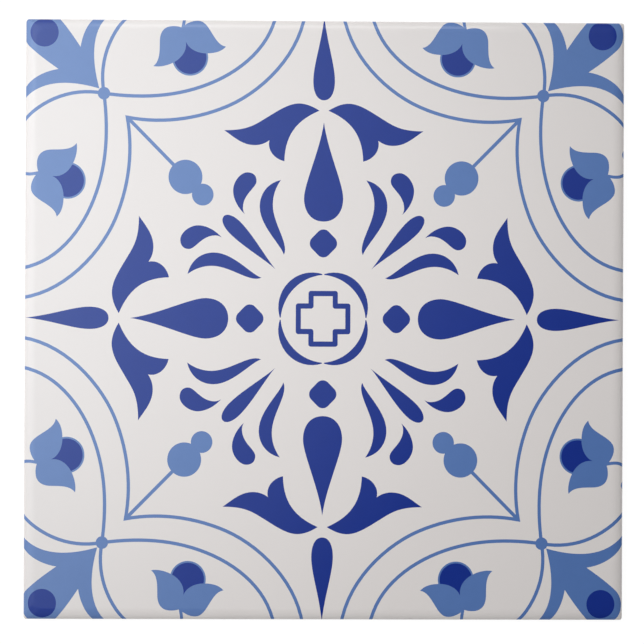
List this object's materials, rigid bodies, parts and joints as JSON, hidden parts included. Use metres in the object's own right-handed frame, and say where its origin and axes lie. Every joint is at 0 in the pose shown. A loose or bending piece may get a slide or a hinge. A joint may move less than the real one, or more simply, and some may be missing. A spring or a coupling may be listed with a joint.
{
  "type": "decorative tile",
  "caption": "Square glazed ceramic wall tile with a cushioned face edge, a keyed back and a blue floral ornament on white.",
  "frame": {"origin": "centre of the tile's back", "axes": "+Z out of the glazed face, X and Y along the tile's sides, +Y towards the top of the ornament in the picture"},
  "size_m": [0.152, 0.152, 0.0064],
  "materials": {
    "glaze": "gloss tin-white glaze with cobalt blue ornament"
  },
  "bodies": {
    "root": {"tile": "glaze"}
  },
  "joints": []
}
